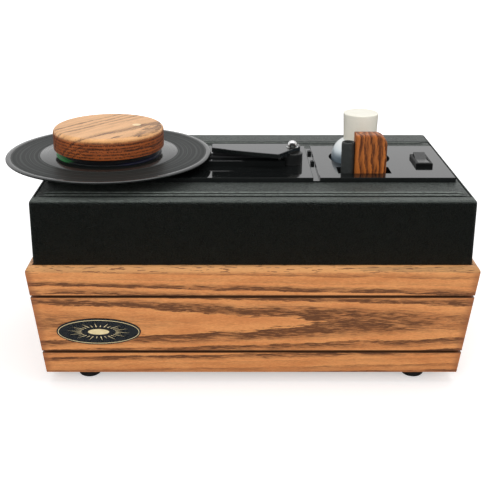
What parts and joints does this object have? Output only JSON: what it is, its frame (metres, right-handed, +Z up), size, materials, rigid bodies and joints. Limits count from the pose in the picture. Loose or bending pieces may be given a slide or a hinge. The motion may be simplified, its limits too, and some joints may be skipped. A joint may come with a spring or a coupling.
{
  "type": "record cleaning machine",
  "caption": "Tabletop record cleaning machine: oak surround on rubber feet, vinyl-covered case, glossy deck with turning spindle, vacuum slot, swinging cover, bottle, brush and rocker switch.",
  "frame": {"origin": "middle of the machine's outline, record included, on the surface that its feet stand on", "axes": "+X to the right along the machine's width, +Y to the back, +Z up; the switch, bottle and brush are at +X and the record at -X"},
  "size_m": [0.3876, 0.2118, 0.2053],
  "materials": {
    "oak": "oiled oak, satin",
    "pine_block": "plain softwood and plywood",
    "black_vinyl": "grained vinyl covering, matte",
    "black_acrylic": "polished",
    "black_plastic": "moulded, satin",
    "black_rubber": "matte",
    "screw_steel": "zinc plated",
    "chrome_nut": "polished",
    "bearing_brass": "turned",
    "white_nylon": "natural",
    "platter_aluminium": "black anodised",
    "pressed_vinyl": "grooved, semi-gloss",
    "green_label": "printed paper",
    "felt": "short pile",
    "white_bottle": "polyethylene",
    "white_cap": "moulded",
    "grey_foam": "closed-cell foam",
    "tank_plastic": "translucent natural",
    "grey_hose": "ribless",
    "motor_metal": "pressed steel",
    "grille_metal": "black satin",
    "badge_plate": "black enamel with cream centre"
  },
  "bodies": {
    "cabinet": {"base_front_board": "oak", "base_back_board": "oak", "base_left_board": "oak", "base_right_board": "oak", "corner_blocks": "pine_block", "bottom_panel": "pine_block", "base_screws": "screw_steel", "rubber_feet": "black_rubber", "badge": "badge_plate", "case_shell": "black_vinyl", "top_panel": "black_vinyl", "rear_strip": "black_vinyl", "deck_base_plate": "black_acrylic", "left_deck_plate": "black_acrylic", "right_deck_plate": "black_acrylic", "channel_clips": "black_plastic", "spindle_bush": "bearing_brass", "bush_nut": "bearing_brass", "thrust_washer": "white_nylon", "slot_bar": "black_acrylic", "slot_lips": "felt", "bar_screws": "screw_steel", "vacuum_plenum": "black_plastic", "pivot_post": "black_plastic", "pivot_bolt": "screw_steel", "dome_nut": "chrome_nut", "arm_washer": "screw_steel", "accessory_well": "black_plastic", "switch_body": "black_plastic", "waste_tank": "tank_plastic", "tank_lid": "tank_plastic", "tank_screws": "screw_steel", "suction_hose": "grey_hose", "hose_clamps": "screw_steel", "fan_housing": "motor_metal", "motor_frame": "motor_metal", "motor_bearings": "screw_steel", "mains_inlet": "black_plastic", "inlet_pins": "bearing_brass", "exhaust_grille": "grille_metal", "rear_screws": "screw_steel"},
    "turntable": {"spindle": "screw_steel", "spindle_clip": "screw_steel", "platter": "platter_aluminium", "platter_mat": "black_rubber"},
    "disc": {"record": "pressed_vinyl", "record_label": "green_label"},
    "hand_puck": {"puck": "oak", "puck_pad": "black_rubber"},
    "slot_cover": {"cover_arm": "black_acrylic", "arm_pad": "felt"},
    "bottle": {"bottle_body": "white_bottle", "bottle_spout": "white_bottle"},
    "overcap": {"bottle_cap": "white_cap"},
    "brush": {"brush_handle": "oak", "foam_sleeve": "grey_foam"},
    "switch_rocker": {"rocker": "black_plastic"},
    "rotor": {"motor_rotor": "motor_metal", "impeller": "motor_metal"},
    "plug": {"drain_plug": "black_rubber"}
  },
  "joints": [
    {"name": "platter_spin", "type": "hinge", "parent": "cabinet", "child": "turntable", "pos_m": [-0.10632, -0.00725, 0.1647], "axis": [0, 0, 1], "continuous": true},
    {"name": "record_lift", "type": "slide", "parent": "turntable", "child": "disc", "axis": [0, 0, 1], "range_m": [0, 0.1]},
    {"name": "puck_lift", "type": "slide", "parent": "disc", "child": "hand_puck", "axis": [0, 0, 1], "range_m": [0, 0.06]},
    {"name": "cover_arm_swing", "type": "hinge", "parent": "cabinet", "child": "slot_cover", "pos_m": [0.05098, -0.01105, 0.1745], "axis": [0, 0, 1], "range_deg": [-100, 0]},
    {"name": "rocker_tilt", "type": "hinge", "parent": "cabinet", "child": "switch_rocker", "pos_m": [0.16258, -0.0089, 0.1652], "axis": [1, 0, 0], "range_deg": [-14, 0]},
    {"name": "bottle_lift", "type": "slide", "parent": "cabinet", "child": "bottle", "axis": [0, 0, 1], "range_m": [0, 0.12]},
    {"name": "overcap_pull", "type": "slide", "parent": "bottle", "child": "overcap", "axis": [0, 0, 1], "range_m": [0, 0.03]},
    {"name": "brush_lift", "type": "slide", "parent": "cabinet", "child": "brush", "axis": [0, 0, 1], "range_m": [0, 0.11]},
    {"name": "rotor_spin", "type": "hinge", "parent": "cabinet", "child": "rotor", "pos_m": [-0.03552, 0, 0.086], "axis": [0, 0, 1], "continuous": true},
    {"name": "drain_plug_pull", "type": "slide", "parent": "cabinet", "child": "plug", "axis": [0, 1, 0], "range_m": [0, 0.02]}
  ]
}
